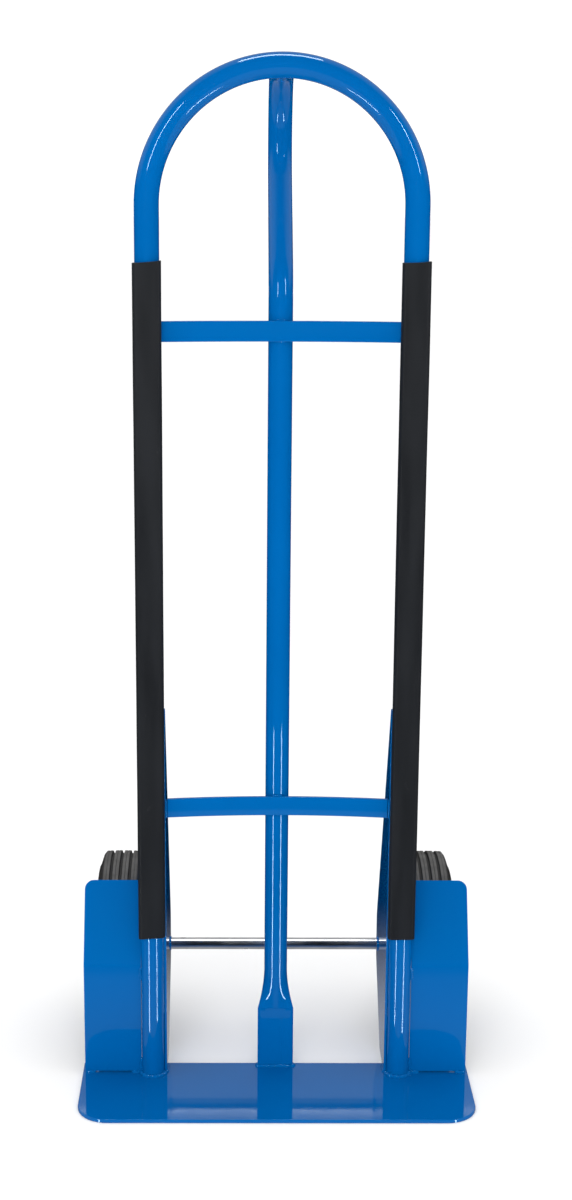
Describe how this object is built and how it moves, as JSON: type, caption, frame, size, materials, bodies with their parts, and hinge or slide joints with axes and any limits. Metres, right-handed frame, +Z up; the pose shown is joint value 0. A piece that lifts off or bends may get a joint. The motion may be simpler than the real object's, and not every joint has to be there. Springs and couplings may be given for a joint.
{
  "type": "hand truck",
  "caption": "Upright hand truck: welded steel tube frame with a looped back handle, flat toe plate, wheel guards and solid rubber wheels on one axle.",
  "frame": {"origin": "on the floor, in the middle of the truck's width and depth, with the truck standing upright on its toe plate and wheels", "axes": "+Z up along the rails, -Y towards the toe plate's front edge, +Y towards the wheels, X across the truck along the axle"},
  "size_m": [0.508, 0.392, 1.303],
  "materials": {
    "frame_paint": "glossy powder coat",
    "black_rubber": "satin",
    "tyre_rubber": "matte",
    "plated_steel": "bright zinc plate",
    "bearing_steel": "ground"
  },
  "bodies": {
    "frame": {"frame_hoop": "frame_paint", "spine_tube": "frame_paint", "upper_cross_strap": "frame_paint", "lower_cross_strap": "frame_paint", "toe_plate": "frame_paint", "left_axle_bracket": "frame_paint", "right_axle_bracket": "frame_paint", "left_wheel_guard": "frame_paint", "right_wheel_guard": "frame_paint", "left_rail_bumper": "black_rubber", "right_rail_bumper": "black_rubber", "axle": "plated_steel", "left_axle_sleeve": "plated_steel", "left_inner_rings": "bearing_steel", "left_bearing_spacer": "bearing_steel", "left_end_washer": "plated_steel", "left_cotter_pin": "plated_steel", "right_axle_sleeve": "plated_steel", "right_inner_rings": "bearing_steel", "right_bearing_spacer": "bearing_steel", "right_end_washer": "plated_steel", "right_cotter_pin": "plated_steel"},
    "left_wheel": {"left_tyre": "tyre_rubber", "left_outer_rim": "frame_paint", "left_inner_rim": "frame_paint", "left_hub": "plated_steel", "left_outer_rings": "bearing_steel", "left_bearing_shields": "bearing_steel", "left_rim_bolts": "plated_steel", "left_rim_nuts": "plated_steel"},
    "right_wheel": {"right_tyre": "tyre_rubber", "right_outer_rim": "frame_paint", "right_inner_rim": "frame_paint", "right_hub": "plated_steel", "right_outer_rings": "bearing_steel", "right_bearing_shields": "bearing_steel", "right_rim_bolts": "plated_steel", "right_rim_nuts": "plated_steel"},
    "left_bearing": {"left_bearing_balls": "bearing_steel", "left_ball_cages": "bearing_steel"},
    "right_bearing": {"right_bearing_balls": "bearing_steel", "right_ball_cages": "bearing_steel"}
  },
  "joints": [
    {"name": "left_wheel_spin", "type": "hinge", "parent": "frame", "child": "left_wheel", "pos_m": [-0.208, 0.069, 0.127], "axis": [1, 0, 0], "continuous": true},
    {"name": "right_wheel_spin", "type": "hinge", "parent": "frame", "child": "right_wheel", "pos_m": [0.208, 0.069, 0.127], "axis": [1, 0, 0], "continuous": true},
    {"name": "left_bearing_spin", "type": "hinge", "parent": "frame", "child": "left_bearing", "pos_m": [-0.208, 0.069, 0.127], "axis": [1, 0, 0], "continuous": true},
    {"name": "right_bearing_spin", "type": "hinge", "parent": "frame", "child": "right_bearing", "pos_m": [0.208, 0.069, 0.127], "axis": [1, 0, 0], "continuous": true}
  ],
  "couplings": [
    {"joint": "left_bearing_spin", "follows": "left_wheel_spin", "ratio": 0.3843},
    {"joint": "right_bearing_spin", "follows": "right_wheel_spin", "ratio": 0.3843}
  ]
}
